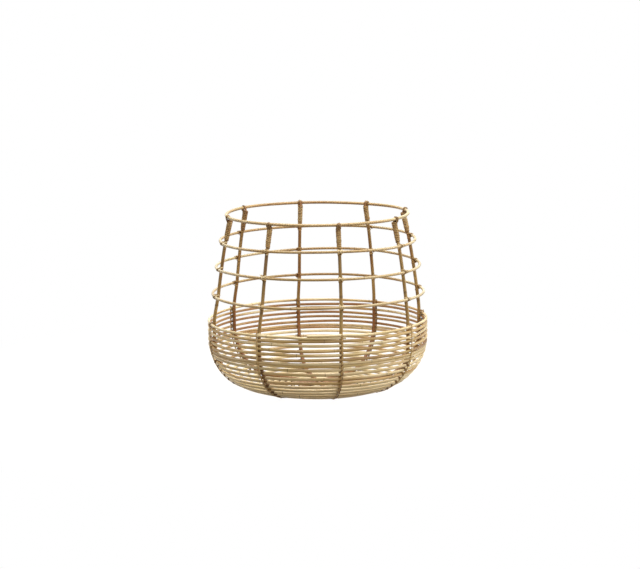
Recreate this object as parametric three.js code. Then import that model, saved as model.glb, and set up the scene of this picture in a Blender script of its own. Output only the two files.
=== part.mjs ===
// Round open basket of bent rattan rods. Millimetres, Z up, origin on the floor under the middle.
// Eight upright stakes run from the middle of the base along its inside, round the bend and up the wall.
// A stack of hoops lies round the outside of the stakes, close together in the low band and far apart in
// the neck. Eight flat outer canes clamp the band's hoops against the stakes. At the rim each stake is
// shaved thin, folded over the rim hoop and bound to itself with a winding of cane peel.

import * as THREE from 'three';

// Driving dimensions of the whole basket

const stakeCount = 8;
const wallRadius = 246; // axis of the basket to the middle of the band's hoops
const bandTopHeight = 161; // floor to the middle of the band's top hoop
const baseBendRadius = 112; // bend between wall and base, at the middle of the hoops
const rimRadius = 205;
const rimRise = 57.1; // uppermost neck hoop to the rim hoop
const neckHoopRadii = [238.2, 229.4, 219.4]; // from the band upward
const neckHoopRises = [61.5, 61.4, 57.6]; // each from the hoop below it

// Rods and canes

const stakeRod = 7.4;
const rimRod = 6.4;
const neckRod = 5.7;
const bandRod = 5.4;
const outerCaneWidth = 4.6;
const outerCaneThickness = 2.8;
const outerCaneFlat = 0.6; // outer face's share of the cane's width
const seatGap = 0.3; // between pieces that rest on each other

// Spacing of the band's hoops, measured along the wall from the top hoop down and in under the base

const bandFirstPitch = 9.6;
const bandPitchGrowth = 0.35; // how much wider each pitch is than the one above it
const innermostHoopRadius = 20;

// Lap where the two shaved ends of a hoop's rod lie on each other

const lapTip = 0.35; // height left at the tip, as a share of the rod
const lapGap = 0.5;

const lapSegments = 2;
const bandLapStart = 16; // segment of the band's top hoop where its lap starts
const lapTurn = 14; // segments between the laps of neighbouring band hoops
const rimLapBay = 2; // bay between two stakes that holds the rim hoop's lap
const neckLapTurn = 7; // bays between the laps of neighbouring neck hoops

// Ends of the stakes and the outer canes

const middleRoom = 2; // each side of an end, in the middle of the base
const outerCaneTopReach = 5; // past the middle of the band's top hoop

// Fold of each stake over the rim hoop

const foldThickness = 3;
const foldMeetsStake = 8; // below the middle of the rim hoop
const tailTipThickness = 1.2;
const tailShare = 0.75; // how far down the binding the folded tail reaches

// Binding of cane peel round the stake and its folded tail

const bindingTopRoom = 1.1; // from where the fold meets the stake
const bindingEndRoom = 8; // left free above the middle of the next hoop
const bindingPitch = 3.5;
const peelHeight = 2.7;
const peelThickness = 1.1;

// How finely the round shapes are cut

const rodSides = 6;
const stakeSides = 8;
const wideBaySegments = 3; // straight sides of a hoop from one stake to the next
const smallBaySegments = 2;
const smallHoopRadius = 130; // hoops up to this size get the lower number

// Materials

function rattan(color, roughness) {
  return new THREE.MeshStandardMaterial({ color, roughness, metalness: 0 });
}

const stakeRattan = rattan(0xa98352, 0.6);
const hoopRattan = rattan(0xc9ab74, 0.5);
const outerCaneRattan = rattan(0xb8945f, 0.55);
const peelRattan = rattan(0x9c7850, 0.75);

// Round rods as polygons with the same area as the round rod

function rodCorner(diameter, sides) {
  const sector = (2 * Math.PI) / sides;
  return (diameter / 2) * Math.sqrt(sector / Math.sin(sector));
}

function rodFace(diameter, sides) {
  return rodCorner(diameter, sides) * Math.cos(Math.PI / sides);
}

// Closed solid through rings of points, which turn anticlockwise about the way the rod runs

function loft(rings) {
  const count = rings[0].length;
  const last = (rings.length - 1) * count;
  const indices = [];
  for (let start = 0; start < last; start += count) {
    for (let side = 0; side < count; side += 1) {
      const here = start + side;
      const beside = start + ((side + 1) % count);
      indices.push(here, beside, beside + count, here, beside + count, here + count);
    }
  }
  for (let side = 1; side + 1 < count; side += 1) {
    indices.push(0, side + 1, side);
    indices.push(last, last + side, last + side + 1);
  }
  const geometry = new THREE.BufferGeometry().setFromPoints(rings.flat());
  geometry.setIndex(indices);
  geometry.computeVertexNormals();
  return geometry;
}

function piece(name, geometry, material) {
  const mesh = new THREE.Mesh(geometry, material);
  mesh.name = name;
  return mesh;
}

// Hoop stops: where a hoop's middle lies in the plane through the basket's axis, with the way out of the
// wall there and the way up along it. In this plane x is the distance from the axis and y the height.

function stop(radius, height, lean, rod) {
  return {
    middle: new THREE.Vector2(radius, height),
    out: new THREE.Vector2(Math.cos(lean), -Math.sin(lean)),
    up: new THREE.Vector2(Math.sin(lean), Math.cos(lean)),
    face: rodFace(rod, rodSides),
    corner: rodCorner(rod, rodSides),
  };
}

const baseLevel = outerCaneThickness + seatGap + rodFace(bandRod, rodSides);
const wallLength = bandTopHeight - baseLevel - baseBendRadius;
const bendLength = (baseBendRadius * Math.PI) / 2;
const baseRadius = wallRadius - baseBendRadius;

function bandStop(distance) {
  if (distance <= wallLength) {
    return stop(wallRadius, bandTopHeight - distance, 0, bandRod);
  }
  if (distance <= wallLength + bendLength) {
    const turn = (distance - wallLength) / baseBendRadius;
    const radius = baseRadius + baseBendRadius * Math.cos(turn);
    const height = baseLevel + baseBendRadius * (1 - Math.sin(turn));
    return stop(radius, height, turn, bandRod);
  }
  return stop(baseRadius - (distance - wallLength - bendLength), baseLevel, Math.PI / 2, bandRod);
}

function bandStops() {
  const stops = [];
  const length = wallLength + bendLength + baseRadius - innermostHoopRadius;
  let distance = 0;
  let pitch = bandFirstPitch;
  while (distance <= length) {
    stops.push(bandStop(distance));
    distance += pitch;
    pitch += bandPitchGrowth;
  }
  return stops;
}

// Each neck hoop leans with the line from the hoop below it to the hoop above it

function neckStops() {
  const radii = [wallRadius, ...neckHoopRadii, rimRadius];
  const heights = [bandTopHeight];
  for (const rise of [...neckHoopRises, rimRise]) {
    heights.push(heights[heights.length - 1] + rise);
  }
  return radii.slice(1).map((radius, index) => {
    const level = index + 1;
    const above = Math.min(level + 1, radii.length - 1);
    const lean = Math.atan2(radii[above] - radii[index], heights[above] - heights[index]);
    const rod = above === level ? rimRod : neckRod;
    return stop(radius, heights[level], lean, rod);
  });
}

const band = bandStops();
const neck = neckStops();
const rim = neck.pop();

// Hoops. A straight side of the hoop lies across every stake. The ends of the rod are shaved and lie on
// each other over the lap, one above and one below.

function hoopGeometry(at, lapStart) {
  const segments = stakeCount * (at.middle.x > smallHoopRadius ? wideBaySegments : smallBaySegments);
  const lapShift = at.corner * (1 + lapTip) + lapGap;
  const halfSegment = Math.PI / segments;
  const spread = Math.cos(halfSegment);
  const besideStake = Math.PI / stakeCount + halfSegment;
  const rings = [];
  for (let step = 0; step <= segments + lapSegments; step += 1) {
    const firstEnd = Math.max(0, 1 - step / lapSegments);
    const lastEnd = Math.max(0, (step - segments) / lapSegments);
    const thinning = 1 - (1 - lapTip) * (firstEnd + lastEnd);
    const shift = (firstEnd - lastEnd) * lapShift;
    const angle = besideStake + 2 * (step + lapStart) * halfSegment;
    const ring = [];
    for (let side = 0; side < rodSides; side += 1) {
      const corner = (side * 2 * Math.PI) / rodSides;
      const along = shift + thinning * at.corner * Math.cos(corner);
      const outward = at.corner * Math.sin(corner);
      const point = at.middle.clone().addScaledVector(at.up, along).addScaledVector(at.out, outward);
      const radius = point.x / spread;
      ring.push(new THREE.Vector3(radius * Math.cos(angle), radius * Math.sin(angle), point.y));
    }
    rings.push(ring);
  }
  return loft(rings);
}

// Stations of a rod that runs in the plane through the axis: its middle, the way to its outer face, and
// its thickness and width there

function station(middle, out, thickness, width) {
  return { middle, out, thickness, width };
}

function dropStraightOnes(stations) {
  return stations.filter((here, index) => {
    if (index === 0 || index === stations.length - 1) return true;
    const before = here.middle.clone().sub(stations[index - 1].middle);
    const after = stations[index + 1].middle.clone().sub(here.middle);
    return Math.abs(before.cross(after)) > 1e-6 * before.length() * after.length();
  });
}

// Stakes

const stakeThickness = 2 * rodFace(stakeRod, stakeSides);

function endRadius(width) {
  return (width / 2 + middleRoom) / Math.tan(Math.PI / stakeCount);
}

function insideOf(at) {
  const offset = at.face + seatGap + stakeThickness / 2;
  const middle = at.middle.clone().addScaledVector(at.out, -offset);
  return station(middle, at.out, stakeThickness, stakeThickness);
}

function byRim(outward, upward) {
  return rim.middle.clone().addScaledVector(rim.out, outward).addScaledVector(rim.up, upward);
}

// A shaved stretch keeps the stake's round on its outer side, so it narrows as it thins

function shavedWidth(thickness) {
  const corner = Math.tan(Math.PI / stakeSides);
  return stakeThickness * corner + thickness * (1 - corner);
}

// The binding hides the tail, so its length also sets where the tail ends

const bindingDrop = foldMeetsStake + bindingTopRoom + peelHeight / 2;
const bindingTurns = Math.floor((rimRise - bindingDrop - bindingEndRoom) / bindingPitch);
const bindingLength = bindingTurns * bindingPitch;
const tailTipDrop = bindingDrop + tailShare * bindingLength;
const stakeOuterFace = -(rim.face + seatGap);

// The fold bends at the rim hoop's own corners, so its faces stay parallel to the hoop's

function foldStations() {
  const stations = [];
  const halfCorner = Math.PI / rodSides;
  const reach = (rim.face + seatGap + foldThickness / 2) / Math.cos(halfCorner);
  const bentThickness = foldThickness / Math.cos(halfCorner);
  for (let bend = 5; bend >= -1; bend -= 2) {
    const angle = bend * halfCorner;
    const middle = byRim(reach * Math.cos(angle), reach * Math.sin(angle));
    const toRim = rim.middle.clone().sub(middle).normalize();
    stations.push(station(middle, toRim, bentThickness, shavedWidth(foldThickness)));
  }
  return stations;
}

function tailStations() {
  const inward = rim.out.clone().negate();
  const innerFace = stakeOuterFace + seatGap;
  const meeting = byRim(innerFace + foldThickness / 2, -foldMeetsStake);
  const tip = byRim(innerFace + tailTipThickness / 2, -tailTipDrop);
  return [
    station(meeting, inward, foldThickness, shavedWidth(foldThickness)),
    station(tip, inward, tailTipThickness, shavedWidth(tailTipThickness)),
  ];
}

function stakeStations() {
  const baseEnd = stop(endRadius(stakeThickness), baseLevel, Math.PI / 2, bandRod);
  const plain = dropStraightOnes([baseEnd, ...band.toReversed(), ...neck].map(insideOf));
  const bindingFoot = bindingDrop + bindingLength + peelHeight / 2;
  const full = stakeOuterFace - stakeThickness / 2;
  plain.push(station(byRim(full, -bindingFoot), rim.out, stakeThickness, stakeThickness));
  plain.push(station(byRim(full, -foldMeetsStake), rim.out, stakeThickness, stakeThickness));
  return [...plain, ...foldStations(), ...tailStations()];
}

function rodRing(here) {
  const ring = [];
  const halfCorner = Math.PI / stakeSides;
  for (let side = 0; side < stakeSides; side += 1) {
    const angle = (2 * side + 1) * halfCorner;
    const outward = (here.thickness * Math.cos(angle)) / (2 * Math.cos(halfCorner));
    const sideways = (here.width * Math.sin(angle)) / (2 * Math.cos(halfCorner));
    const point = here.middle.clone().addScaledVector(here.out, outward);
    ring.push(new THREE.Vector3(point.x, sideways, point.y));
  }
  return ring;
}

function stakeGeometry() {
  return loft(stakeStations().map(rodRing));
}

// Outer canes: split canes, flat on the hoops and narrower outside, that also carry the basket's weight

function outerCaneRing(here) {
  const half = outerCaneWidth / 2;
  const narrow = half * outerCaneFlat;
  const corners = [[0, -half], [outerCaneThickness, -narrow], [outerCaneThickness, narrow], [0, half]];
  return corners.map(([outward, sideways]) => {
    const point = here.middle.clone().addScaledVector(here.out, outward);
    return new THREE.Vector3(point.x, sideways, point.y);
  });
}

function outerCaneGeometry() {
  const end = stop(endRadius(outerCaneWidth), baseLevel, Math.PI / 2, bandRod);
  const top = stop(wallRadius, bandTopHeight + outerCaneTopReach, 0, bandRod);
  const stations = [end, ...band.toReversed(), top].map((at) => {
    const middle = at.middle.clone().addScaledVector(at.out, at.face + seatGap);
    return station(middle, at.out, outerCaneThickness, outerCaneWidth);
  });
  return loft(dropStraightOnes(stations).map(outerCaneRing));
}

// Rim binding: one unbroken winding of peel round the stake, pushed out on one side by the folded tail

function tailPush(drop) {
  const tip = tailTipThickness + seatGap;
  const full = foldThickness + seatGap;
  const end = bindingDrop + bindingLength;
  if (drop < tailTipDrop) {
    return THREE.MathUtils.mapLinear(drop, bindingDrop, tailTipDrop, full, tip);
  }
  return THREE.MathUtils.mapLinear(drop, tailTipDrop, end, tip, 0);
}

function bindingRings() {
  const rings = [];
  const halfCorner = Math.PI / stakeSides;
  const innerReach = (stakeThickness / 2 + seatGap) / Math.cos(halfCorner);
  const outerReach = (stakeThickness / 2 + seatGap + peelThickness) / Math.cos(halfCorner);
  const stakeMiddle = stakeOuterFace - stakeThickness / 2;
  const corners = [[-1, innerReach], [1, innerReach], [1, outerReach], [-1, outerReach]];
  for (let step = 0; step <= bindingTurns * stakeSides; step += 1) {
    const angle = (2 * step + 1) * halfCorner;
    const drop = bindingDrop + (step * bindingPitch) / stakeSides;
    const push = Math.cos(angle) > 0 ? tailPush(drop) : 0;
    const ring = corners.map(([edge, reach]) => {
      const outward = stakeMiddle + push + reach * Math.cos(angle);
      const point = byRim(outward, -drop + (edge * peelHeight) / 2);
      return new THREE.Vector3(point.x, reach * Math.sin(angle), point.y);
    });
    rings.push(ring);
  }
  return rings;
}

// Least distance between points of the winding that are most of a turn apart

function leastGap(rings) {
  let least = Infinity;
  for (let first = 0; first < rings.length; first += 1) {
    const last = Math.min(rings.length, first + 2 * stakeSides);
    for (let other = first + stakeSides - 1; other < last; other += 1) {
      for (const point of rings[first]) {
        for (const facing of rings[other]) {
          least = Math.min(least, point.distanceTo(facing));
        }
      }
    }
  }
  return least;
}

const winding = bindingRings();
console.log(`rim binding: ${bindingTurns} turns, least gap ${leastGap(winding).toFixed(2)} mm`);

// Assembly: hoops stand alone, and each stake turns with its binding and its outer cane

const basket = new THREE.Group();
const twoDigits = (number) => String(number).padStart(2, '0');

basket.add(piece('rim_hoop', hoopGeometry(rim, rimLapBay * wideBaySegments), hoopRattan));
neck.forEach((at, index) => {
  const lapBay = rimLapBay + neckLapTurn * (index + 1);
  basket.add(piece(`neck_hoop_${index + 1}`, hoopGeometry(at, lapBay * wideBaySegments), hoopRattan));
});
band.forEach((at, index) => {
  const flat = band.slice(0, index + 1).filter((other) => other.middle.x <= smallHoopRadius).length;
  const name = flat > 0 ? `base_hoop_${flat}` : `band_hoop_${twoDigits(index + 1)}`;
  basket.add(piece(name, hoopGeometry(at, bandLapStart + index * lapTurn), hoopRattan));
});

const stakeShape = stakeGeometry();
const outerCaneShape = outerCaneGeometry();
const bindingShape = loft(winding);
for (let index = 0; index < stakeCount; index += 1) {
  const upright = new THREE.Group();
  upright.rotation.z = ((index + 0.5) * 2 * Math.PI) / stakeCount;
  upright.add(piece(`stake_${index + 1}`, stakeShape, stakeRattan));
  upright.add(piece(`rim_binding_${index + 1}`, bindingShape, peelRattan));
  upright.add(piece(`outer_cane_${index + 1}`, outerCaneShape, outerCaneRattan));
  basket.add(upright);
}

export default basket;
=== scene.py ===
import itertools
import math
import random

import bmesh
import bpy
from mathutils import Matrix, Quaternion, Vector


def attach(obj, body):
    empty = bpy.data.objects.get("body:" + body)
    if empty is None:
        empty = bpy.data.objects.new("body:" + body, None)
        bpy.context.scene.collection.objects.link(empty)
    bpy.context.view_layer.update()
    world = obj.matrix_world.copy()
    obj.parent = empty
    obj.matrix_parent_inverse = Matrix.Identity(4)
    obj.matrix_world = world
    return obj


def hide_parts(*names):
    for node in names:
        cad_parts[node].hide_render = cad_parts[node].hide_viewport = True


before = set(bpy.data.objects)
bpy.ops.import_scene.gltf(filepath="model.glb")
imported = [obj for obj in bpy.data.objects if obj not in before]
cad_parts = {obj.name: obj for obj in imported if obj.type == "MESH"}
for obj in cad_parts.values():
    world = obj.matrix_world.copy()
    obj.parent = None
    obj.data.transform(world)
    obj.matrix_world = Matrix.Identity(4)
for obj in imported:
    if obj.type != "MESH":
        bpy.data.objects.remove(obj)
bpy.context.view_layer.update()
up = Vector((0, 0, 1))


# shader maths as plain sums: a Wire is an output socket of a Finish, a material or the world

class Wire:
    def __init__(self, finish, socket):
        self.finish = finish
        self.socket = socket

    def maths(self, operation, first, second):
        return self.finish.node("ShaderNodeMath", {"operation": operation}, {0: first, 1: second})

    def __add__(self, other):
        return self.maths("ADD", self, other)

    def __radd__(self, other):
        return self.maths("ADD", other, self)

    def __sub__(self, other):
        return self.maths("SUBTRACT", self, other)

    def __rsub__(self, other):
        return self.maths("SUBTRACT", other, self)

    def __mul__(self, other):
        return self.maths("MULTIPLY", self, other)

    def __rmul__(self, other):
        return self.maths("MULTIPLY", other, self)


class Finish:
    def __init__(self, name, owner=None):
        self.owner = owner or bpy.data.materials.new(name)
        self.owner.use_nodes = True
        self.tree = self.owner.node_tree
        self.tree.nodes.clear()

    def node(self, kind, settings=None, inputs=None, output=0):
        made = self.tree.nodes.new(kind)
        for key, value in (settings or {}).items():
            if key == "stops":
                self.setStops(made.color_ramp, value)
            else:
                setattr(made, key, value)
        for key, value in (inputs or {}).items():
            if isinstance(value, Wire):
                self.tree.links.new(value.socket, made.inputs[key])
            else:
                made.inputs[key].default_value = value
        return Wire(self, made.outputs[output]) if made.outputs else None

    def setStops(self, ramp, stops):
        while len(ramp.elements) < len(stops):
            ramp.elements.new(1)
        for element, (position, colour) in zip(ramp.elements, stops):
            element.position = position
            element.color = colour

    def attribute(self, name, output):
        return self.node("ShaderNodeAttribute", {"attribute_name": name}, output=output)

    def noise(self, place, along, across, detail):
        # along and across are how long and how thick the noise's patches are
        stretch = (1 / along, 1 / across, 1 / across)
        place = self.node("ShaderNodeVectorMath", {"operation": "MULTIPLY"}, {0: place, 1: stretch})
        return self.node("ShaderNodeTexNoise", {}, {"Vector": place, "Scale": 1.0, "Detail": detail}, "Fac")

    def step(self, value, low, high):
        settings = {"interpolation_type": "SMOOTHSTEP"}
        return self.node("ShaderNodeMapRange", settings, {"Value": value, "From Min": low, "From Max": high})

    def blend(self, share, first, second):
        settings = {"data_type": "RGBA"}
        return self.node("ShaderNodeMix", settings, {0: share, 6: first, 7: second}, 2)


def paint(red, green, blue):
    # the colour as it shows on a screen, 0 to 255
    linear = [((part / 255 + 0.055) / 1.055) ** 2.4 for part in (red, green, blue)]
    return (*linear, 1.0)


# cane finishes

poleSkin = {
    "pale": paint(224, 205, 162),
    "tan": paint(194, 162, 108),
    "brown": paint(152, 110, 58),
    "olive": paint(172, 152, 90),
    "rustAndInnerShade": paint(160, 118, 70),  # reddish, partly the cane's own colour and partly painted warm shade, on the side that faces the inside of the basket
    "rustAndInnerShadeShare": 0.45,
    "scar": paint(92, 58, 30),
    "depth": 0.36,
    "roughness": 0.45,
    "coat": 0.15,
}

# the band's rods are warmer, and darker in their stripes
bandSkin = dict(
    poleSkin,
    pale=paint(248, 230, 186),
    tan=paint(222, 188, 124),
    brown=paint(138, 98, 50),
    olive=paint(196, 174, 100),
    rustAndInnerShade=paint(168, 108, 58),
    rustAndInnerShadeShare=0.62,
    depth=0.42,
)

stakeSkin = {
    "pale": paint(192, 158, 96),
    "tan": paint(158, 122, 66),
    "brown": paint(110, 76, 36),
    "olive": paint(134, 112, 56),
    "rustAndInnerShade": paint(146, 86, 42),
    "rustAndInnerShadeShare": 0.6,
    "scar": paint(66, 42, 26),
    "depth": 0.42,
    "roughness": 0.5,
    "coat": 0.1,
}

splitSkin = {
    "pale": paint(238, 216, 166),
    "tan": paint(214, 180, 120),
    "brown": paint(164, 122, 68),
    "olive": paint(188, 166, 102),
    "rustAndInnerShade": paint(148, 98, 56),
    "rustAndInnerShadeShare": 0.6,
    "scar": paint(90, 62, 38),
    "depth": 0.34,
    "roughness": 0.48,
    "coat": 0.1,
}

peelSkin = {
    "pale": paint(234, 212, 166),
    "tan": paint(190, 156, 102),
    "brown": paint(114, 80, 44),
    "olive": paint(150, 130, 78),
    "rustAndInnerShade": paint(142, 88, 50),
    "rustAndInnerShadeShare": 0.6,
    "scar": paint(70, 44, 30),
    "depth": 0.45,
    "roughness": 0.65,
    "coat": 0.0,
}


# the pattern of every cane; a noise is its patches' length and thickness, and its detail

grain = {
    "patches": (0.12, 0.02, 2.0),
    "patchDepth": 1.2,
    "streaks": (0.03, 0.0011, 3.0),
    "streakDepth": 0.6,
    "fibres": (0.012, 0.00045, 2.0),
    "fibreDepth": 0.25,
    "tanAt": 0.45,  # the tan's depth, between pale at 0 and brown at 1
    "greening": (0.09, 0.01, 1.0),
    "greeningFrom": (0.5, 0.7),
    "greenShare": 0.45,
    "inwardFrom": (-0.1, 0.5),
    "rustAndInnerShadeFrom": (0.3, 0.6),
    "rustAndInnerShadeTone": 0.5,
    "flecks": (0.004, 0.0016, 2.0),
    "fleckFrom": (0.68, 0.76),
    "fleckShare": 0.5,
    "scarShare": 0.75,
    "reliefStrength": 0.5,
    "reliefDepth": 0.0003,
    "fibreRelief": 0.7,
    "streakRelief": 0.6,
    "scarRelief": 0.4,
    "roughnessSpread": 0.3,
    "coatRoughness": 0.3,
}


def caneFinish(name, skin):
    finish = Finish(name)
    place = finish.attribute("straight", "Vector")
    tone = finish.attribute("tone", "Fac")
    scar = finish.attribute("scar", "Fac")
    inward = finish.attribute("inward", "Fac")
    patches = finish.noise(place, *grain["patches"])
    streaks = finish.noise(place, *grain["streaks"])
    fibres = finish.noise(place, *grain["fibres"])
    flecks = finish.step(finish.noise(place, *grain["flecks"]), *grain["fleckFrom"])
    depth = skin["depth"] + tone + (patches - 0.5) * grain["patchDepth"]
    depth = depth + (streaks - 0.5) * grain["streakDepth"] + (fibres - 0.5) * grain["fibreDepth"]
    stops = [(0.0, skin["pale"]), (grain["tanAt"], skin["tan"]), (1.0, skin["brown"])]
    colour = finish.node("ShaderNodeValToRGB", {"stops": stops}, {"Fac": depth}, "Color")
    greening = finish.step(finish.noise(place, *grain["greening"]), *grain["greeningFrom"])
    colour = finish.blend(greening * grain["greenShare"], colour, skin["olive"])
    # partly the cane's own reddish colour, partly painted warm shade, on the side that faces the basket's
    # inside
    rustAndInnerShadeMask = finish.step(inward, *grain["inwardFrom"])
    rustAndInnerShadeMask = rustAndInnerShadeMask * finish.step(patches + tone * grain["rustAndInnerShadeTone"], *grain["rustAndInnerShadeFrom"])
    colour = finish.blend(rustAndInnerShadeMask * skin["rustAndInnerShadeShare"], colour, skin["rustAndInnerShade"])
    colour = finish.blend(flecks * grain["fleckShare"], colour, skin["scar"])
    colour = finish.blend(scar * grain["scarShare"], colour, skin["scar"])
    height = fibres * grain["fibreRelief"] + streaks * grain["streakRelief"] - scar * grain["scarRelief"]
    relief = finish.node(
        "ShaderNodeBump",
        {},
        {"Strength": grain["reliefStrength"], "Distance": grain["reliefDepth"], "Height": height},
    )
    skinShader = finish.node(
        "ShaderNodeBsdfPrincipled",
        {},
        {
            "Base Color": colour,
            "Roughness": skin["roughness"] + (fibres - 0.5) * grain["roughnessSpread"],
            "Coat Weight": skin["coat"],
            "Coat Roughness": grain["coatRoughness"],
            "Normal": relief,
        },
    )
    finish.node("ShaderNodeOutputMaterial", {}, {"Surface": skinShader})
    return finish.owner


hoopFinish = caneFinish("peeled pole", poleSkin)
bandFinish = caneFinish("band pole", bandSkin)
stakeFinish = caneFinish("brown pole", stakeSkin)
outerCaneFinish = caneFinish("split cane", splitSkin)
peelFinish = caneFinish("cane peel", peelSkin)
print("finishes made")


# sizes that the pieces share, in metres: the part's own, but for a bend that is 3 mm rounder

basket = {
    "stakes": 8,
    "wallRadius": 0.246,
    "bandTop": 0.161,
    "bendRadius": 0.115,
    "baseLevel": 0.00567,
    "rimRadius": 0.205,
    "rimRise": 0.0571,
    "neckRadii": (0.2382, 0.2294, 0.2194),
    "neckRises": (0.0615, 0.0614, 0.0576),
    "gap": 0.0003,
    "lean": 0.0024,  # how far the band and the base stand to the camera's left of the neck
    "leanSide": math.radians(190.6),
    "middle": Vector((0, 0, 0.15)),  # what faces it is the inside of the basket
    "bandKnots": 60,  # of an upright rod, along the base and the band
}

# degrees by which each stake strays from its even place, at the rim and at the band
stray = [(1.5, 2.0), (-0.9, -0.5), (-0.7, -1.0), (-1.8, -2.8),
         (2.2, 2.2), (2.1, 0.7), (1.2, 0.3), (1.0, -0.2)]


def clamped(share):
    return min(max(share, 0), 1)


def eased(share):
    share = clamped(share)
    return share * share * (3 - 2 * share)


def stakeAngle(index, height):
    atRim, atBand = stray[index]
    share = clamped((height - basket["bandTop"]) / (rim.middle.y - basket["bandTop"]))
    return (index + 0.5) * math.tau / basket["stakes"] + math.radians(atBand + (atRim - atBand) * share)


def outsideAt(angle):
    return Vector((math.cos(angle), math.sin(angle), 0))


def leaning(point):
    firstRise = basket["neckRises"][0]
    share = clamped((basket["bandTop"] + firstRise - point.z) / firstRise)
    return point + outsideAt(basket["leanSide"]) * (basket["lean"] * share)


# a stop is where a hoop's middle lies, with the way out of the wall and the way up along it

class Stop:
    def __init__(self, radius, height, lean):
        self.middle = Vector((radius, height))
        self.out = Vector((math.cos(lean), -math.sin(lean)))
        self.up = Vector((math.sin(lean), math.cos(lean)))

    def turned(self, flat, angle, along):
        outside = outsideAt(angle)
        return outside * flat.x + up * flat.y + up.cross(outside) * along

    def at(self, angle, along, upward, outward):
        return self.turned(self.middle + self.up * upward + self.out * outward, angle, along)

    def way(self, angle, along, upward, outward):
        return self.turned(self.up * upward + self.out * outward, angle, along).normalized()


wallLength = basket["bandTop"] - basket["baseLevel"] - basket["bendRadius"]
bendLength = basket["bendRadius"] * math.pi / 2
flatRadius = basket["wallRadius"] - basket["bendRadius"]


def bandStop(distance):
    # down the wall from the band's top hoop, round the bend and in along the base
    if distance <= wallLength:
        return Stop(basket["wallRadius"], basket["bandTop"] - distance, 0)
    if distance <= wallLength + bendLength:
        turn = (distance - wallLength) / basket["bendRadius"]
        radius = flatRadius + basket["bendRadius"] * math.cos(turn)
        return Stop(radius, basket["baseLevel"] + basket["bendRadius"] * (1 - math.sin(turn)), turn)
    return Stop(flatRadius - (distance - wallLength - bendLength), basket["baseLevel"], math.pi / 2)


def bandStopsUp(endRadius):
    # from the middle of the base up to the band's top hoop
    length = wallLength + bendLength + flatRadius - endRadius
    steps = basket["bandKnots"]
    return [bandStop(length * step / steps) for step in range(steps, -1, -1)]


def neckStops():
    radii = [basket["wallRadius"], *basket["neckRadii"], basket["rimRadius"]]
    heights = [basket["bandTop"]]
    for rise in [*basket["neckRises"], basket["rimRise"]]:
        heights.append(heights[-1] + rise)
    stops = []
    for level in range(1, len(radii)):
        above = min(level + 1, len(radii) - 1)
        lean = math.atan2(radii[above] - radii[level - 1], heights[above] - heights[level - 1])
        stops.append(Stop(radii[level], heights[level], lean))
    return stops


*neck, rim = neckStops()


# laying canes: a straight tube is spun off a circle, and its rings are laid on their stations

rodsApart = 3.7  # between two canes' places in the noise


class Station:
    def __init__(self, middle, out, thickness, width, scar=0.0, tone=0.0):
        self.middle = middle
        self.out = out
        self.thickness = thickness
        self.width = width
        self.scar = scar
        self.tone = tone


def layCane(stations, sides, number, tone, flatBack=None):
    last = len(stations) - 1
    bm = bmesh.new()
    straight = bm.verts.layers.float_vector.new("straight")
    scar = bm.verts.layers.float.new("scar")
    toneLayer = bm.verts.layers.float.new("tone")
    inward = bm.verts.layers.float.new("inward")
    onEdge = Matrix.Rotation(math.pi / 2, 4, "Y")
    bmesh.ops.create_circle(bm, segments=sides, radius=1, matrix=onEdge)
    bmesh.ops.spin(bm, geom=bm.verts[:] + bm.edges[:], axis=(1, 0, 0), dvec=(1, 0, 0), angle=0, steps=last)
    ends = [edge for edge in bm.edges if edge.is_boundary]
    bmesh.ops.holes_fill(bm, edges=ends, sides=0)
    lengths = [0.0]
    for before, after in zip(stations, stations[1:]):
        lengths.append(lengths[-1] + (after.middle - before.middle).length)
    frames = []
    for index, station in enumerate(stations):
        run = stations[min(index + 1, last)].middle - stations[max(index - 1, 0)].middle
        side = run.cross(station.out).normalized()
        frames.append((side, side.cross(run).normalized()))
    for vert in bm.verts:
        index = round(vert.co.x)
        across, outward = vert.co.y, vert.co.z
        station = stations[index]
        side, out = frames[index]
        if flatBack is not None:
            outward = 2 * (max(outward, -flatBack) + flatBack) / (1 + flatBack) - 1
        sideways = across * station.width / 2
        outward = outward * station.thickness / 2
        offset = side * sideways + out * outward
        vert[straight] = (lengths[index] + number * rodsApart, sideways, outward)
        vert[scar] = station.scar
        vert[toneLayer] = tone + station.tone
        vert[inward] = offset.normalized().dot((basket["middle"] - station.middle).normalized())
        vert.co = leaning(station.middle + offset)
    bmesh.ops.recalc_face_normals(bm, faces=bm.faces)
    for face in bm.faces:
        face.smooth = True
    for edge in ends:
        edge.smooth = False
    mesh = bpy.data.meshes.new("cane")
    bm.to_mesh(mesh)
    bm.free()
    return mesh


def finishPiece(canes, name, finish, nodes=()):
    bm = bmesh.new()
    for cane in canes:
        bm.from_mesh(cane)
        bpy.data.meshes.remove(cane)
    mesh = bpy.data.meshes.new(name)
    bm.to_mesh(mesh)
    bm.free()
    mesh.materials.append(finish)
    piece = bpy.data.objects.new(name, mesh)
    bpy.context.scene.collection.objects.link(piece)
    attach(piece, "root")
    if nodes:
        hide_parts(*nodes)


def spread(picks, most):
    return picks.uniform(-most, most)


def drift(picks, amount, waves):
    # a soft wander round the basket, as of canes laid by hand
    turns = [(wave, picks.uniform(0, math.tau), picks.uniform(0.4, 1) / math.sqrt(wave)) for wave in waves]
    return lambda angle: amount * sum(size * math.sin(wave * angle + phase) for wave, phase, size in turns)


# joints of the pole, small dark rings that stand a little proud

joint = {
    "shortest": 0.11,  # from one joint to the next
    "longest": 0.34,
    "swell": 0.00035,
    "clear": 0.02,  # what the ends of a pole keep free of joints
    "room": 0.003,
    "profile": [(-0.0024, 0.0, 0.0), (-0.0012, 0.35, 0.1), (-0.0004, 0.9, 0.8), (0.0, 1.0, 1.0),
                (0.0004, 0.8, 0.6), (0.0012, 0.25, 0.1), (0.0024, 0.0, 0.0)],
}


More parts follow.
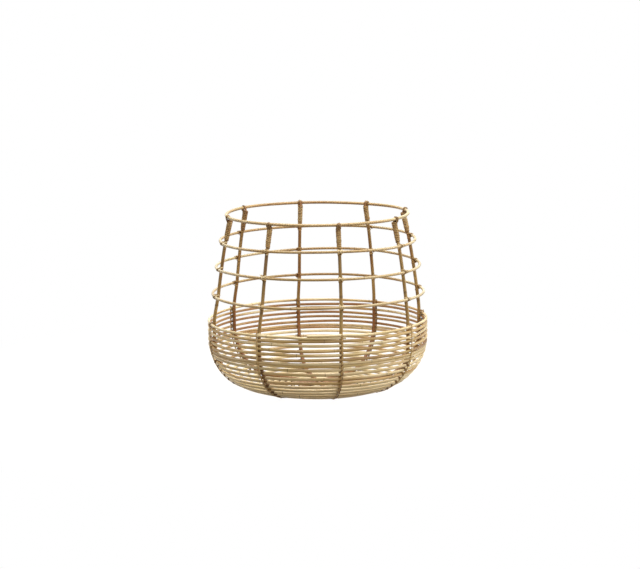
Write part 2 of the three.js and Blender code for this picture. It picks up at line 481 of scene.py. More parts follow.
def jointedSteps(picks, length, spacing):
    # distances along a pole with what its joints add there, as (distance, swell, scar)
    count = round(length / spacing)
    steps = [(length * step / count, 0.0, 0.0) for step in range(count + 1)]
    place = picks.uniform(joint["clear"], joint["longest"])
    while place < length - joint["clear"]:
        steps = [step for step in steps if abs(step[0] - place) > joint["room"]]
        strength = picks.uniform(0.5, 1)
        for reach, swell, scar in joint["profile"]:
            steps.append((place + reach, swell * strength, scar * strength))
        place += picks.uniform(joint["shortest"], joint["longest"])
    return sorted(steps)


# hoops, each one rod whose ends are shaved and lie on each other

hoop = {
    "rimRod": 0.0067,
    "neckRod": 0.0060,
    "bandRod": 0.0060,
    "sides": 14,
    "spacing": 0.0055,
    "seed": 100,
    "tones": (-0.36, 0.32),
    "shade": 0.13,
    "shadeWaves": (1, 2, 4),
    "lap": 0.055,
    "lapTip": 0.15,  # the share of the rod left at its tip
    "lapApart": 0.66,
    "lapFlatter": 0.4,  # how much of the thinning takes its thickness too
    "sideBySide": "band_hoop_01",  # the one hoop whose ends lie side by side
    "sideLap": 0.085,
    "sideLapTip": 0.8,
    "sideLapApart": 1.0,
    "sideLapEase": 0.045,  # over this a rod moves aside for its other end
    "lapSegments": 2,  # the most that a lap takes of the solid's straight stretches
    "baySegments": 3,  # of these from one stake to the next
    "smallBaySegments": 2,  # on the small hoops of the base
    "bandLapStart": 16,
    "lapTurn": 14,
    "rimLapBay": 2,
    "neckLapTurn": 7,
    "smallRadius": 0.130,
    "firstPitch": 0.0096,
    "pitchGrowth": 0.00035,
    "innermost": 0.020,
    "neckWander": 0.0004,
    "bandWander": 0.0011,
    "wavesFrom": 0.02,  # the base lies flat: from this height up the wander and the waves set in
    "wavesOver": 0.08,
    "wanderWaves": (2, 3, 5, 7),
    "bow": 0.35,  # in and out, as a share of the wander up and down
    "bowWaves": (3, 4, 6),
    "frontSide": -1.39,  # the side in the photo, as an angle round the basket
    "thickening": 0.16,  # the band's rods are thicker there, and thinner at the sides
    "paintedFaceShadeSideLight": 0.21,  # painted light and shade on the neck's hoops: darker at the front and back, and paler at the sides, where the side lamps fall
    "paintedFloorLightBelow": 0.09,  # painted light: under this height the rods get paler, as if lit from the floor, by up to the next value
    "paintedFloorLight": 0.8,
    "doubled": "band_hoop_07",  # the one hoop that is two thinner rods, one on the other
    "doubledRod": 0.92,
    "doubledWander": 0.5,
    "doubledLapTurn": 9,
    "doubledTones": (-0.2, 0.1),
    "doubledNumber": 50,  # keeps its rods apart in the noise
}

# how the hoops rise and fall round the basket, in mm: the mean, then cosine and sine of 1, 2, 3 waves
hoopWaves = {
    "rim_hoop": (0.46, -0.21, -1.15, 0.12, 0.05, 0.42, 0.31),
    "neck_hoop_3": (-0.41, -0.12, -0.36, -0.93, 0.16, -0.48, 0.42),
    "neck_hoop_2": (-0.50, 0.23, 0.61, -1.75, 0.35, 0.18, -0.60),
    "neck_hoop_1": (-0.76, 0.11, 0.30, -0.93, -1.03, -0.45, -0.46),
    "band": (-0.77, 0.60, 0.76, -0.63, -0.01, -0.04, 0.30),
}


def hoopWave(node, angle):
    height, *waves = hoopWaves.get(node, hoopWaves["band"])
    for wave in (1, 2, 3):
        cosine, sine = waves[2 * wave - 2:2 * wave]
        height += cosine * math.cos(wave * angle) + sine * math.sin(wave * angle)
    return height * 0.001


def waveShare(at):
    return clamped((at.middle.y - hoop["wavesFrom"]) / hoop["wavesOver"])


def inBand(node):
    return node.startswith(("band", "base"))


def hoopStations(node, at, rod, lapStart, picks, wander, raised=0.0):
    radius = at.middle.x
    baySegments = hoop["baySegments"] if radius > hoop["smallRadius"] else hoop["smallBaySegments"]
    segment = math.tau / (basket["stakes"] * baySegments)
    wholeLap = hoop["lapSegments"] * segment
    banded = inBand(node)
    openLap = node == hoop["sideBySide"]
    kind = "sideLap" if openLap else "lap"
    lapTip = hoop[f"{kind}Tip"]
    lap = min(hoop[kind] / radius, wholeLap)
    start = math.pi / basket["stakes"] + segment / 2 + lapStart * segment + (wholeLap - lap) / 2
    shiftMost = hoop[f"{kind}Apart"] * rod * (1 + lapTip) / 2
    ease = hoop["sideLapEase"] / radius
    rise = drift(picks, wander, hoop["wanderWaves"])
    bow = drift(picks, wander * hoop["bow"], hoop["bowWaves"])
    shade = drift(picks, hoop["shade"], hoop["shadeWaves"])
    stations = []
    for distance, swell, scar in jointedSteps(picks, (math.tau + lap) * radius, hoop["spacing"]):
        turn = distance / radius
        angle = start + turn
        firstEnd = max(0.0, 1 - turn / lap)
        lastEnd = max(0.0, (turn - math.tau) / lap)
        thinning = 1 - (1 - lapTip) * (firstEnd + lastEnd)
        aside = firstEnd - lastEnd
        if openLap:
            aside = (eased(1 + (lap - turn) / ease) - eased(1 + (turn - math.tau) / ease)) / 2
        upward = aside * shiftMost + raised + (rise(turn) + hoopWave(node, angle)) * waveShare(at)
        front = math.cos(angle - hoop["frontSide"])
        thickness = rod * (1 + banded * hoop["thickening"] * (front + 2 * front * front - 1) / 2)
        thickness += swell * joint["swell"] * 2
        # the neck hoops' tone takes painted light and shade by their side round the basket
        stations.append(Station(
            at.at(angle, 0, upward, bow(turn)),
            at.way(angle, 0, 0, 1),
            thickness * (1 - hoop["lapFlatter"] + hoop["lapFlatter"] * thinning),
            thickness * thinning,
            scar,
            shade(turn) + (not banded) * hoop["paintedFaceShadeSideLight"] * (2 * front * front - 1),
        ))
    return stations


def hoopPlan():
    rimLap = hoop["rimLapBay"] * hoop["baySegments"]
    plan = [("rim_hoop", rim, hoop["rimRod"], rimLap, hoop["neckWander"])]
    for index, at in enumerate(neck):
        lapStart = rimLap + hoop["neckLapTurn"] * hoop["baySegments"] * (index + 1)
        plan.append((f"neck_hoop_{index + 1}", at, hoop["neckRod"], lapStart, hoop["neckWander"]))
    distance, pitch, index, small = 0.0, hoop["firstPitch"], 0, 0
    while distance <= wallLength + bendLength + flatRadius - hoop["innermost"]:
        at = bandStop(distance)
        index += 1
        small += at.middle.x <= hoop["smallRadius"]
        name = f"base_hoop_{small}" if small else f"band_hoop_{index:02d}"
        lapStart = hoop["bandLapStart"] + (index - 1) * hoop["lapTurn"]
        plan.append((name, at, hoop["bandRod"], lapStart, hoop["bandWander"]))
        distance += pitch
        pitch += hoop["pitchGrowth"]
    return plan


hoops = hoopPlan()
laidHoops = {}  # the stations of each single hoop, for the strands that go round its rod
for count, (node, at, rod, lapStart, wander) in enumerate(hoops):
    picks = random.Random(hoop["seed"] + count)
    if node == hoop["doubled"]:
        thinRod = rod * hoop["doubledRod"]
        thinWander = wander * hoop["doubledWander"]
        canes = []
        for side in (-1, 1):
            thinStart = lapStart + hoop["doubledLapTurn"] * side
            stations = hoopStations(node, at, thinRod, thinStart, picks, thinWander, side * thinRod / 2)
            number = count + hoop["doubledNumber"] * side
            canes.append(layCane(stations, hoop["sides"], number, picks.uniform(*hoop["doubledTones"])))
    else:
        stations = laidHoops[node] = hoopStations(node, at, rod, lapStart, picks, wander)
        # painted light from the floor: the lowest rods are paler
        paintedFloorLightTone = hoop["paintedFloorLight"] * clamped((hoop["paintedFloorLightBelow"] - at.middle.y) / hoop["paintedFloorLightBelow"])
        canes = [layCane(stations, hoop["sides"], count, picks.uniform(*hoop["tones"]) - paintedFloorLightTone)]
    finishPiece(canes, f"{node}_pole", bandFinish if inBand(node) else hoopFinish, [node])
print(f"{len(hoops)} hoops laid")


# rods that run in a plane through the basket's axis, from knots of (place, way, thickness, width)

upright = {
    "shade": 0.1,
    "shadeWaves": (1, 2, 3),
    "shadeTurns": 9,  # in a metre of the rod
    "firstJoint": 0.03,
    "jointReach": 0.003,
    "jointSwell": 0.09,
}


def planeStations(index, knots, picks, spacing):
    stations = []
    shade = drift(picks, upright["shade"], upright["shadeWaves"])
    travelled = 0.0
    nextJoint = picks.uniform(upright["firstJoint"], joint["longest"])
    for knot, (before, after) in enumerate(zip(knots, knots[1:])):
        place0, way0, thickness0, width0 = before
        place1, way1, thickness1, width1 = after
        reach = (place1 - place0).length
        steps = max(1, round(reach / spacing))
        for step in range(steps + (knot == len(knots) - 2)):
            t = step / steps
            place = (
                place0 * (2 * t ** 3 - 3 * t ** 2 + 1)
                + way0 * (reach * (t ** 3 - 2 * t ** 2 + t))
                + place1 * (3 * t ** 2 - 2 * t ** 3)
                + way1 * (reach * (t ** 3 - t ** 2))
            )
            way = way0.lerp(way1, t).normalized()
            out = Vector((way.y, -way.x))
            outside = outsideAt(stakeAngle(index, place.y))
            here = travelled + reach * t
            swell = max(0.0, 1 - abs(here - nextJoint) / upright["jointReach"])
            if here > nextJoint + upright["jointReach"]:
                nextJoint += picks.uniform(joint["shortest"], joint["longest"])
            size = 1 + upright["jointSwell"] * swell
            stations.append(Station(
                outside * place.x + up * place.y,
                outside * out.x + up * out.y,
                (thickness0 + (thickness1 - thickness0) * t) * size,
                (width0 + (width1 - width0) * t) * size,
                swell,
                shade(here * upright["shadeTurns"]),
            ))
        travelled += reach
    return stations


# stakes, shaved thin over the rim, each with its tail bound back on it

stake = {
    "rod": 0.0077,
    "sides": 16,
    "spacing": 0.0028,
    "seed": 300,
    "number": 40,  # its place in the noise, as each piece has its own
    "endRadius": 0.0135,
    "straightDrop": 0.030,  # the stake is straight from here up to where it narrows
    "narrowDrop": 0.002,
    "narrowWidth": 0.98,
    "foldThickness": 0.0024,
    "foldWidth": 0.0060,
    "foldTurn": 30,  # degrees from one knot to the next, from the inside of the rim over to the outside
    "tailWidth": 0.95,  # of the fold's width
    "tipThickness": 0.0013,
    "tipWidth": 0.0044,
    "meets": 0.008,  # how far under the rim the tail comes back to the stake
    "pressed": 0.001,  # and how much further down it lies flat
    "tones": (-0.16, 0.0, 0.0, -0.08, -0.03, 0.1, 0.06, -0.12),  # one for each stake
    "toneSpread": 0.12,
    "foldTone": 0.5,  # the fold over the rim is darker
    "foldFade": 0.008,
    "bandPaintedShade": 0.35,  # painted shade: the stakes are darker inside the band, where the hoops shade them
    "bandFade": 0.02,
}

# the rim bindings' sizes, as the stakes' tails end under them
binding = {
    "drop": 0.0048,
    "turns": 11.5,
    "pitch": 0.0039,
    "peelWidth": 0.0041,
    "peelThickness": 0.0012,
    "sides": 8,
    "stepsPerTurn": 22,
    "seed": 700,
    "number": 80,
    "firstTurn": 0.5,
    "topWidening": 0.18,
    "tailShare": 0.75,
    "sink": 0.00022,
    "sinkWaves": (3, 7, 11),
    "squeeze": 0.00012,
    "squeezeWaves": (5, 9, 13),
    "bumpAt": (0.62, 0.78),  # where the tail's tip lifts a turn, as a share of the way down
    "bump": 0.0007,
    "bumpReach": 0.05,
    "tones": (-0.12, -0.1, -0.2, 0.22, 0.06, 0.04, 0.08, 0.03),  # one for each stake
    "lowTone": 0.3,  # darker from the next share of the way down
    "lowFrom": 0.6,
    "topTone": 0.5,  # and darker above the next one
    "topShare": 0.08,
}

rimFace = 0.0032  # from the middle of the rim hoop to the face that the stakes rest on
tailDrop = binding["drop"] + binding["tailShare"] * binding["turns"] * binding["pitch"]
meetDrop = stake["meets"] + stake["pressed"]


def rimPlace(outward, upward):
    return rim.middle + rim.out * outward + rim.up * upward


def stakeKnots():
    full = stake["rod"]
    foldThickness, foldWidth = stake["foldThickness"], stake["foldWidth"]
    knots = []
    inward = hoop["bandRod"] / 2 + basket["gap"] / 2 + full / 2
    for at in bandStopsUp(stake["endRadius"]):
        knots.append((at.middle - at.out * inward, at.up, full, full))
    inward = hoop["neckRod"] / 2 + basket["gap"] / 2 + full / 2
    for at in neck:
        knots.append((at.middle - at.out * inward, at.up, full, full))
    inside = -(rimFace + basket["gap"]) - full / 2
    knots.append((rimPlace(inside, -stake["straightDrop"]), rim.up, full, full))
    narrow = rimPlace(inside, -stake["meets"] - stake["narrowDrop"])
    knots.append((narrow, rim.up, full, full * stake["narrowWidth"]))
    aroundRim = hoop["rimRod"] / 2 + basket["gap"] + foldThickness / 2
    for degrees in range(180, -stake["foldTurn"] - 1, -stake["foldTurn"]):
        turn = math.radians(degrees)
        place = rimPlace(aroundRim * math.cos(turn), aroundRim * math.sin(turn))
        way = rim.out * math.sin(turn) - rim.up * math.cos(turn)
        knots.append((place, way, foldThickness, foldWidth))
    outerFace = -rimFace + basket["gap"]
    tail = rimPlace(outerFace + foldThickness / 2, -meetDrop)
    knots.append((tail, -rim.up, foldThickness, foldWidth * stake["tailWidth"]))
    tip = rimPlace(outerFace + stake["tipThickness"] / 2, -tailDrop)
    knots.append((tip, -rim.up, stake["tipThickness"], stake["tipWidth"]))
    return knots


for index in range(basket["stakes"]):
    picks = random.Random(stake["seed"] + index)
    stations = planeStations(index, stakeKnots(), picks, stake["spacing"])
    for station in stations:
        fromRim = abs(station.middle.z - rim.middle.y)
        station.tone += stake["foldTone"] * max(0, 1 - fromRim / stake["foldFade"])
        # painted shade where the stakes run behind the band's hoops
        underBand = basket["bandTop"] - station.middle.z
        station.tone += stake["bandPaintedShade"] * eased(underBand / stake["bandFade"])
    tone = stake["tones"][index] + spread(picks, stake["toneSpread"])
    canes = [layCane(stations, stake["sides"], stake["number"] + index, tone)]
    finishPiece(canes, f"stake_{index + 1}_pole", stakeFinish, [f"stake_{index + 1}"])
print("stakes laid")


# outer canes, split, with the flat side on the hoops

outerCane = {
    "width": 0.0038,
    "thickness": 0.0017,
    "seat": 0.00287,
    "sides": 12,
    "flatBack": 0.45,
    "spacing": 0.003,
    "seed": 500,
    "number": 60,
    "toneSpread": 0.1,
    "endRadius": 0.0104,
    "topReach": 0.005,
    "tipThickness": 0.8,  # shares of the full cane
    "tipWidth": 0.9,
}


def outerCaneKnots():
    thickness, width = outerCane["thickness"], outerCane["width"]
    outward = outerCane["seat"] + thickness / 2
    knots = []
    for at in bandStopsUp(outerCane["endRadius"]):
        knots.append((at.middle + at.out * outward, at.up, thickness, width))
    top = Stop(basket["wallRadius"], basket["bandTop"] + outerCane["topReach"], 0)
    tip = top.middle + top.out * outward
    knots.append((tip, top.up, thickness * outerCane["tipThickness"], width * outerCane["tipWidth"]))
    return knots


for index in range(basket["stakes"]):
    picks = random.Random(outerCane["seed"] + index)
    stations = planeStations(index, outerCaneKnots(), picks, outerCane["spacing"])
    tone = spread(picks, outerCane["toneSpread"])
    canes = [layCane(stations, outerCane["sides"], outerCane["number"] + index, tone, outerCane["flatBack"])]
    node = f"outer_cane_{index + 1}"
    finishPiece(canes, f"{node}_split", outerCaneFinish, [node])
print("outer canes laid")


# rim bindings: peel wound round the stake and its folded tail

def tailPush(drop):
    # how far the fold and then the thinning tail push the winding off the stake
    bindingEnd = binding["drop"] + binding["turns"] * binding["pitch"]
    full = stake["foldThickness"] + basket["gap"]
    tip = stake["tipThickness"] + basket["gap"]
    if drop < meetDrop:
        return full + meetDrop - drop
    if drop < tailDrop:
        return full + (tip - full) * (drop - stake["meets"]) / (tailDrop - stake["meets"])
    return tip * max(0.0, 1 - (drop - tailDrop) / (bindingEnd - tailDrop))


def bindingStations(index, picks):
    stations = []
    sink = drift(picks, binding["sink"], binding["sinkWaves"])
    squeeze = drift(picks, binding["squeeze"], binding["squeezeWaves"])
    stakeMiddle = -(rimFace + basket["gap"]) - stake["rod"] / 2
    tight = stake["rod"] / 2 + basket["gap"] / 2 + binding["peelThickness"] / 2
    total = round(binding["turns"] * binding["stepsPerTurn"])
    bump = picks.uniform(*binding["bumpAt"])
    for step in range(total + 1):
        turn = math.tau * step / binding["stepsPerTurn"] + binding["firstTurn"]
        share = step / total
        drop = binding["drop"] + share * binding["turns"] * binding["pitch"] + sink(share * math.tau)
        reach = tight + squeeze(share * math.tau * 3)
        reach += binding["bump"] * max(0.0, 1 - abs(share - bump) / binding["bumpReach"])
        push = tailPush(drop) / 2
        outward = stakeMiddle + push + (reach + push) * math.cos(turn)
        sideways = (reach + binding["topWidening"] * reach * (1 - share)) * math.sin(turn)
        angle = stakeAngle(index, rim.middle.y - drop)
        stations.append(Station(
            rim.at(angle, sideways, -drop, outward),
            rim.way(angle, math.sin(turn), 0, math.cos(turn)),
            binding["peelThickness"],
            binding["peelWidth"],
            0.0,
            binding["lowTone"] * max(0.0, share - binding["lowFrom"])
            + binding["topTone"] * max(0.0, binding["topShare"] - share) / binding["topShare"],
        ))
    return stations


for index in range(basket["stakes"]):
    picks = random.Random(binding["seed"] + index)
    stations = bindingStations(index, picks)
    canes = [layCane(stations, binding["sides"], binding["number"] + index, binding["tones"][index])]
    node = f"rim_binding_{index + 1}"
    finishPiece(canes, f"{node}_peel", peelFinish, [node])
print("rim bindings wound")


# ties of peel over the crossings, from knots of (along, upward, outward, way off)

neckReach = hoop["neckRod"] / 2
stakeReach = stake["rod"] / 2
numbers = itertools.count(101)  # the ties' places in the noise


def between(a, b, c, d, t):
    # a smooth way from b to c
    return 0.5 * (2 * b + (c - a) * t + (2 * a - 5 * b + 4 * c - d) * t * t + (3 * b - a - 3 * c + d) * t ** 3)


def throughKnots(knots, steps, closed):
    # a smooth run through the knots, each of them six numbers
    count = len(knots)
    run = []
    for index in range(count if closed else count - 1):
        near = [knots[(index + step) % count] if closed else knots[min(max(index + step, 0), count - 1)]
                for step in (-1, 0, 1, 2)]
        for step in range(steps):
            run.append([between(*row, step / steps) for row in zip(*near)])
    run.append(list(knots[0] if closed else knots[-1]))
    return run


def tie(at, angle, knots, strand, tone, closed=True, width=None, lift=0.0):
    stations = []
    for along, upward, outward, *way in throughKnots(knots, strand["steps"], closed):
        stations.append(Station(
            at.at(angle, along, upward + lift, outward),
            at.way(angle, *way),
            strand["thickness"],
            width or strand["width"],
        ))
    return layCane(stations, strand["sides"], next(numbers), tone)


# neck lashings: a cross over each hoop and stake, and a turn round the hoop on both sides of the stake

lashing = {
    "width": 0.0030,
    "thickness": 0.0010,
    "sides": 8,
    "steps": 5,  # from knot to knot
    "seed": 900,
    "reach": 0.0052,
    "reachSpread": (0.85, 1.1),
    "bow": 0.0006,
    "tones": (0.15, -0.05, 0.0, 0.1, -0.4, -0.4, -0.45, -0.4),  # one for each stake
    "toneSpread": 0.1,
    "earPaintedShade": (0.2, 0.0, 0.0, 0.2, 0.9, 0.2, 0.1, 0.9),  # painted shade: the turns beside each stake are darker, for the shadow at the edge of the knot
    "earApart": (0.0006, 0.0016),
    "earSlant": 0.0012,
    "earKnots": 6,
    "tails": 0.4,  # the share of the crossings where a cut end stands off
    "tailLength": (0.002, 0.005),
    "tailLift": (-0.002, 0.003),
}


def crossKnots(reach, bow):
    # two slanting turns, the second over the first
    peel = lashing["thickness"]
    middle = -neckReach - stakeReach
    behind = middle - stakeReach - peel / 2
    over = neckReach + peel * 0.6

    def arm(side, tilt, more):
        # from beside the stake to the front of the hoop
        return [
            (side * (stakeReach + peel / 2), tilt * reach, middle, side, 0, 0),
            (side * stakeReach * 0.85, tilt * reach * 0.74, -neckReach * 0.5, side * 0.5, tilt * 0.7, 0.3),
            (side * stakeReach * 0.45, tilt * neckReach * 0.9, neckReach * 0.92 + more / 2, 0, tilt * 0.7, 0.7),
        ]

    rows = []
    for tilt, more in ((1, 0.0), (-1, peel * 0.9)):
        rows += [*arm(-1, tilt, more), (0, bow, over + more, 0, 0, 1)]
        rows += [*reversed(arm(1, -tilt, more)), (0, -tilt * reach * 1.05, behind, 0, 0, -1)]
    return rows


def earKnots(side, along, slant):
    # one turn round the hoop beside the stake
    ride = neckReach + lashing["thickness"] / 2
    rows = []
    for step in range(lashing["earKnots"]):
        turn = step * math.tau / lashing["earKnots"]
        rows.append((side * (along + slant * math.cos(turn)), ride * math.sin(turn), ride * math.cos(turn),
                     0, math.sin(turn), math.cos(turn)))
    return rows


def tailKnots(side, upward, length, lift):
    # a cut end of peel that stands off beside the stake
    return [
        (side * stakeReach, upward, -0.006, side, 0, 0.3),
        (side * (stakeReach + 0.0012), upward + lift * 0.3, -0.003, side, 0, 0.6),
        (side * (stakeReach + length * 0.6), upward + lift, 0.0, side * 0.4, 0.5, 0.8),
        (side * (stakeReach + length), upward + lift * 1.6, 0.0015, side * 0.2, 0.6, 0.8),
    ]


for level, at in enumerate(neck):
    canes = []
    for index in range(basket["stakes"]):
        angle = stakeAngle(index, at.middle.y)
        lift = hoopWave(f"neck_hoop_{level + 1}", angle)
        picks = random.Random(lashing["seed"] + 10 * level + index)
        tone = lashing["tones"][index] + spread(picks, lashing["toneSpread"])
        reach = lashing["reach"] * picks.uniform(*lashing["reachSpread"])
        cross = crossKnots(reach, spread(picks, lashing["bow"]))
        canes.append(tie(at, angle, cross, lashing, tone, lift=lift))
        for side in (-1, 1):
            along = stakeReach + picks.uniform(*lashing["earApart"])
            ear = earKnots(side, along, spread(picks, lashing["earSlant"]))
            # the turns beside the stake take painted shade
            canes.append(tie(at, angle, ear, lashing, tone + lashing["earPaintedShade"][index], lift=lift))
        if picks.random() < lashing["tails"]:
            upward = picks.choice((-1, 1)) * lashing["reach"]
            length = picks.uniform(*lashing["tailLength"])
            side = picks.choice((-1, 1))
            tail = tailKnots(side, upward, length, picks.uniform(*lashing["tailLift"]))
            canes.append(tie(at, angle, tail, lashing, tone, closed=False, lift=lift))
    finishPiece(canes, f"neck_lashings_{level + 1}", peelFinish)
print("neck lashings tied")


# band lashings: ties that hold the outer canes, and dark strands beside them

bandTie = {
    "share": 0.6,  # of the crossings, below the top hoop
    "reach": 0.0042,
    "width": 0.0021,
    "thickness": 0.0008,
    "sides": 5,
    "steps": 2,
    "seed": 1300,
    "pressed": 0.3,  # the share of its thickness between its middle and the outer cane
    "clear": 0.0004,  # beside the outer cane
    "tones": (0.25, 0.35, 0.35, 0.2, 0.3, -0.35, 0.05, -0.3),  # one for each stake
    "toneSpread": (-0.1, 0.15),
    "lowPaintedShade": 1.3,  # painted shade: added to the tone from the band's top to the middle of the base, darker down the shaded bend
    "darkest": 0.5,
    "darkWidth": 0.0029,  # of the ties with a tone over 0
}


def slantKnots(hoopReach, slope):
    # one slanting turn that takes in the outer cane, the hoop and the stake
    peel = bandTie["thickness"]
    reach = bandTie["reach"]
    front = outerCane["seat"] + outerCane["thickness"] + peel * bandTie["pressed"]
    halfWidth = outerCane["width"] / 2 + bandTie["clear"]
    middle = -hoopReach - stakeReach
    behind = middle - stakeReach - peel / 2

    def arm(side):
        # from the front of the outer cane to beside the stake
        tilt = -slope * side
        return [
            (side * halfWidth, tilt * 0.0016, front - 0.0010, side * 0.8, tilt * 0.2, 0.6),
            (side * (halfWidth + 0.0006), tilt * (hoopReach + peel), 0.0005, side * 0.6, tilt * 0.7, 0),
            (side * (stakeReach + peel / 2), tilt * reach, middle, side, 0, 0),
        ]

    return [(0, 0, front, 0, 0, 1), *arm(1), (0, 0, behind, 0, 0, -1), *reversed(arm(-1))]


bandHoops = [row[:3] for row in hoops if inBand(row[0])]
canes = []
for index in range(basket["stakes"]):
    picks = random.Random(bandTie["seed"] + index)
    angle = stakeAngle(index, 0)
    for order, (node, at, rod) in enumerate(bandHoops):
        top = order == 0
        if not top and picks.random() > bandTie["share"]:
            continue
        lift = hoopWave(node, angle) * waveShare(at)
        slopes = (1, -1) if top else (1 if index % 2 else -1,)
        # painted shade: the ties darken towards the base
        lowPaintedShade = bandTie["lowPaintedShade"] * order / len(bandHoops)
        tone = bandTie["tones"][index] + lowPaintedShade + picks.uniform(*bandTie["toneSpread"])
        tone = min(tone, bandTie["darkest"])
        width = bandTie["darkWidth"] if tone > 0 else bandTie["width"]
        for slope in slopes:
            canes.append(tie(at, angle, slantKnots(rod / 2, slope), bandTie, tone, width=width, lift=lift))

# the dark strands come up from under the lower hoops, slanting to the outer cane; their dark tone is partly the
# peel's own brown, partly painted shade of the gaps beside the stakes
bandWrap = {
    "firstHoop": 8,
    "strands": (2, -2, 2, -2, 2, 3, 1, -2),  # one for each stake, below 0 on the other side of the cane
    "width": 0.0027,
    "under": math.radians(-150),
    "over": math.radians(25),
    "slant": 0.0032,
    "sides": 5,
    "steps": 8,
    "seed": 2100,
    "tone": 0.45,
    "toneSpread": 0.15,
}


def wrapStations(laid, angle, radius, slant):
    # part of a turn round a hoop's rod
    def away(station):
        return math.remainder(math.atan2(station.middle.y, station.middle.x) - angle, math.tau)

    rod = min(laid, key=lambda station: abs(away(station)))
    run = up.cross(outsideAt(angle))
    side = run.cross(rod.out)
    peel = bandTie["thickness"]
    stations = []
    for step in range(bandWrap["steps"] + 1):
        share = step / bandWrap["steps"]
        turn = bandWrap["under"] + (bandWrap["over"] - bandWrap["under"]) * share
        reachUp = math.sin(turn) * (rod.width + peel) / 2
        reachOut = math.cos(turn) * (rod.thickness + peel) / 2
        along = -away(rod) * radius - slant * share
        stations.append(Station(
            rod.middle + run * along + side * reachUp + rod.out * reachOut,
            side * math.sin(turn) + rod.out * math.cos(turn),
            peel,
            bandWrap["width"],
        ))
    return stations


for index, strands in enumerate(bandWrap["strands"]):
    slant = math.copysign(bandWrap["slant"], strands)
    for order, (node, at, _) in enumerate(bandHoops):
        if order < bandWrap["firstHoop"] or node.startswith("base"):
            continue
        picks = random.Random(bandWrap["seed"] + 20 * index + order)
        radius = at.middle.x
        for count in range(abs(strands)):
            beside = math.copysign(stakeReach + bandWrap["width"] * (count + 0.5), strands)
            wrap = wrapStations(laidHoops[node], stakeAngle(index, 0) + beside / radius, radius, slant)
            # partly painted shade: the strands are dark brown
            tone = bandWrap["tone"] + spread(picks, bandWrap["toneSpread"])
            canes.append(layCane(wrap, bandWrap["sides"], next(numbers), tone))
finishPiece(canes, "band_lashings", peelFinish)
print("band lashings tied")


# rim ties: strands beside each fold, over the rim hoop and round the stake, and a cut end on the fold

rimTie = {
    "beside": 0.0042,
    "width": 0.0024,
    "thickness": 0.0008,
    "sides": 8,
    "steps": 5,
    "seed": 1700,
    "tones": (0.3, 0.5),
    "cutSpread": 0.0004,
}


def rimTieKnots(side):
    peel = rimTie["thickness"]
    ride = hoop["rimRod"] / 2 + peel / 2
    beside = rimTie["beside"]
    middle = -(rimFace + basket["gap"]) - stakeReach
    return [
        (side * beside, ride, 0, 0, 1, 0),
        (side * beside, ride * 0.6, -ride * 0.8, 0, 0.6, -0.8),
        (side * (stakeReach + 0.0006), -0.0050, -ride - 0.0008, side * 0.6, 0, -0.6),
        (side * (stakeReach * 0.7), -0.0078, middle - stakeReach, side * 0.7, 0, -0.7),
        (0, -0.0088, middle - stakeReach - peel / 2, 0, 0, -1),
        (-side * (stakeReach + peel / 2), -0.0100, middle, -side, 0, 0),
        (-side * 0.0036, -0.0098, -0.0012, -side * 0.6, 0, 0.8),
        (0, -0.0080, 0.0014, 0, -0.2, 1),
        (side * 0.0030, -0.0052, 0.0030, side * 0.4, -0.3, 0.9),
        (side * beside, -0.0016, ride * 0.95, 0, -0.2, 1),
        (side * beside, ride * 0.65, ride * 0.75, 0, 0.7, 0.7),
    ]


def cutEndKnots(side, tipUp):
    foldTop = hoop["rimRod"] / 2 + stake["foldThickness"]
    return [
        (-side * 0.002, 0.0010, foldTop + 0.0010, 0, 0, 1),
        (0.0, foldTop * 0.72, foldTop * 0.82, 0, 0.7, 0.7),
        (side * 0.0015, foldTop + 0.0002, 0.001, 0, 1, 0),
        (side * 0.003, foldTop + tipUp, -0.001, 0, 1, 0),
    ]


canes = []
for index in range(basket["stakes"]):
    picks = random.Random(rimTie["seed"] + index)
    angle = stakeAngle(index, rim.middle.y)
    tone = picks.uniform(*rimTie["tones"])
    for side in (-1, 1):
        canes.append(tie(rim, angle, rimTieKnots(side), rimTie, tone))
    side = picks.choice((-1, 1))
    cutEnd = cutEndKnots(side, spread(picks, rimTie["cutSpread"]))
    canes.append(tie(rim, angle, cutEnd, rimTie, tone, closed=False))
finishPiece(canes, "rim_ties", peelFinish)
print("rim ties laid")


# floor, soft light and camera

studio = {
    "floorHalf": 6.0,
    "floorBounce": paint(130, 115, 90),
    "floorGlow": (0.90, 0.917, 0.943, 1),
    "nearFloor": (1.0, 0.4),  # plain white past the first distance, with its shadow within the second
    "skyLevel": 0.055,
    "boxes": {  # width, depth, power, then the place: right of the middle, towards the camera and up
        "top box": (2.6, 2.6, 96, 0, 0, 2.6),
        "left box": (1.2, 1.6, 7, -2.2, 0, 1.1),
        "right box": (1.2, 1.6, 22, 2.2, 0, 1.1),
        "back box": (2.4, 1.4, 7, 0, -2.6, 1.2),
        "front box": (1.6, 1.2, 30, 1.5, 2.4, 2.2),
    },
    "boxAim": 0.2,
    "focus": 142.1,
    "sensor": 36,
    "distance": 5.713,
    "azimuth": math.radians(10.6),
    "elevation": math.radians(9.22),
    "aimRight": 0.0042,
    "aimUp": 0.237,
    "roll": 0.0135,
}
white = (1, 1, 1, 1)


def seenRays(finish):
    seen = [finish.node("ShaderNodeLightPath", output=name)
            for name in ("Is Camera Ray", "Is Glossy Ray", "Is Transmission Ray")]
    return finish.node("ShaderNodeClamp", {}, {"Value": seen[0] + seen[1] + seen[2]})


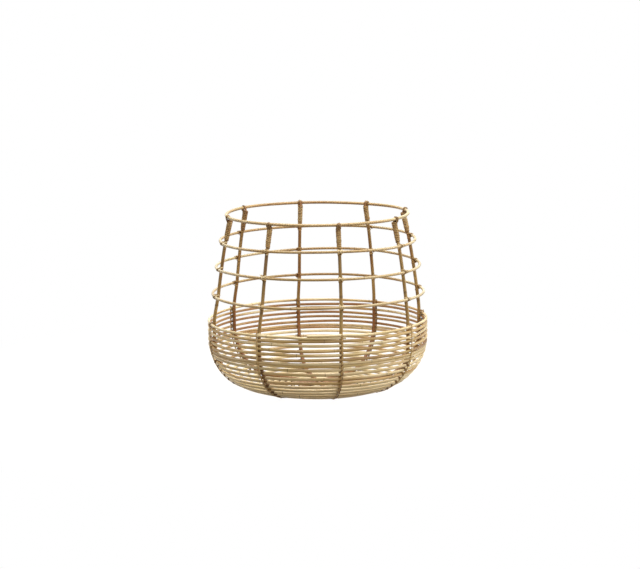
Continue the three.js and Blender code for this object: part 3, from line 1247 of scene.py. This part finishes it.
def floorFinish():
    finish = Finish("studio floor")
    plain = finish.node("ShaderNodeBsdfDiffuse", {}, {"Color": studio["floorBounce"]})
    glow = finish.node("ShaderNodeEmission", {}, {"Color": studio["floorGlow"], "Strength": 1.0})
    lit = finish.node("ShaderNodeAddShader", {}, {0: plain, 1: glow})
    place = finish.node("ShaderNodeTexCoord", output="Object")
    away = finish.node("ShaderNodeVectorMath", {"operation": "LENGTH"}, {0: place}, "Value")
    near = finish.step(away, *studio["nearFloor"])
    blank = finish.node("ShaderNodeEmission", {}, {"Color": white, "Strength": 1.0})
    shown = finish.node("ShaderNodeMixShader", {}, {0: near, 1: blank, 2: lit})
    floor = finish.node("ShaderNodeMixShader", {}, {0: seenRays(finish), 1: plain, 2: shown})
    below = finish.node("ShaderNodeNewGeometry", output="Backfacing")
    clear = finish.node("ShaderNodeBsdfTransparent")
    floor = finish.node("ShaderNodeMixShader", {}, {0: below, 1: floor, 2: clear})
    finish.node("ShaderNodeOutputMaterial", {}, {"Surface": floor})
    return finish.owner


bm = bmesh.new()
bmesh.ops.create_grid(bm, x_segments=1, y_segments=1, size=studio["floorHalf"])
floorMesh = bpy.data.meshes.new("studio_floor")
bm.to_mesh(floorMesh)
bm.free()
floorMesh.materials.append(floorFinish())
floor = bpy.data.objects.new("studio_floor", floorMesh)
bpy.context.scene.collection.objects.link(floor)

world = bpy.data.worlds.new("white studio")
bpy.context.scene.world = world
sky = Finish("white studio", world)
level = studio["skyLevel"] + (1 - studio["skyLevel"]) * seenRays(sky)
backdrop = sky.node("ShaderNodeBackground", {}, {"Color": white, "Strength": level})
sky.node("ShaderNodeOutputWorld", {}, {"Surface": backdrop})


def softbox(name, width, depth, power, place, aim):
    lamp = bpy.data.lights.new(name, "AREA")
    lamp.shape = "RECTANGLE"
    lamp.size = width
    lamp.size_y = depth
    lamp.energy = power
    holder = bpy.data.objects.new(name, lamp)
    holder.location = place
    holder.rotation_euler = (aim - place).to_track_quat("-Z", "Y").to_euler()
    bpy.context.scene.collection.objects.link(holder)


right = Vector((math.cos(studio["azimuth"]), math.sin(studio["azimuth"]), 0))
toCamera = Vector((math.sin(studio["azimuth"]), -math.cos(studio["azimuth"]), 0))
for name, (width, depth, power, rightward, nearer, high) in studio["boxes"].items():
    place = right * rightward + toCamera * nearer + up * high
    softbox(name, width, depth, power, place, up * studio["boxAim"])

bpy.context.scene.view_settings.view_transform = "Standard"
camera = bpy.data.cameras.new("camera")
camera.lens = studio["focus"]
camera.sensor_width = studio["sensor"]
holder = bpy.data.objects.new("camera", camera)
aim = right * studio["aimRight"] + up * studio["aimUp"]
back = toCamera * math.cos(studio["elevation"]) + up * math.sin(studio["elevation"])
holder.location = aim + back * studio["distance"]
levelView = (-back).to_track_quat("-Z", "Y")
holder.rotation_euler = (levelView @ Quaternion((0, 0, 1), -studio["roll"])).to_euler()
bpy.context.scene.collection.objects.link(holder)
bpy.context.scene.camera = holder
print("studio set")
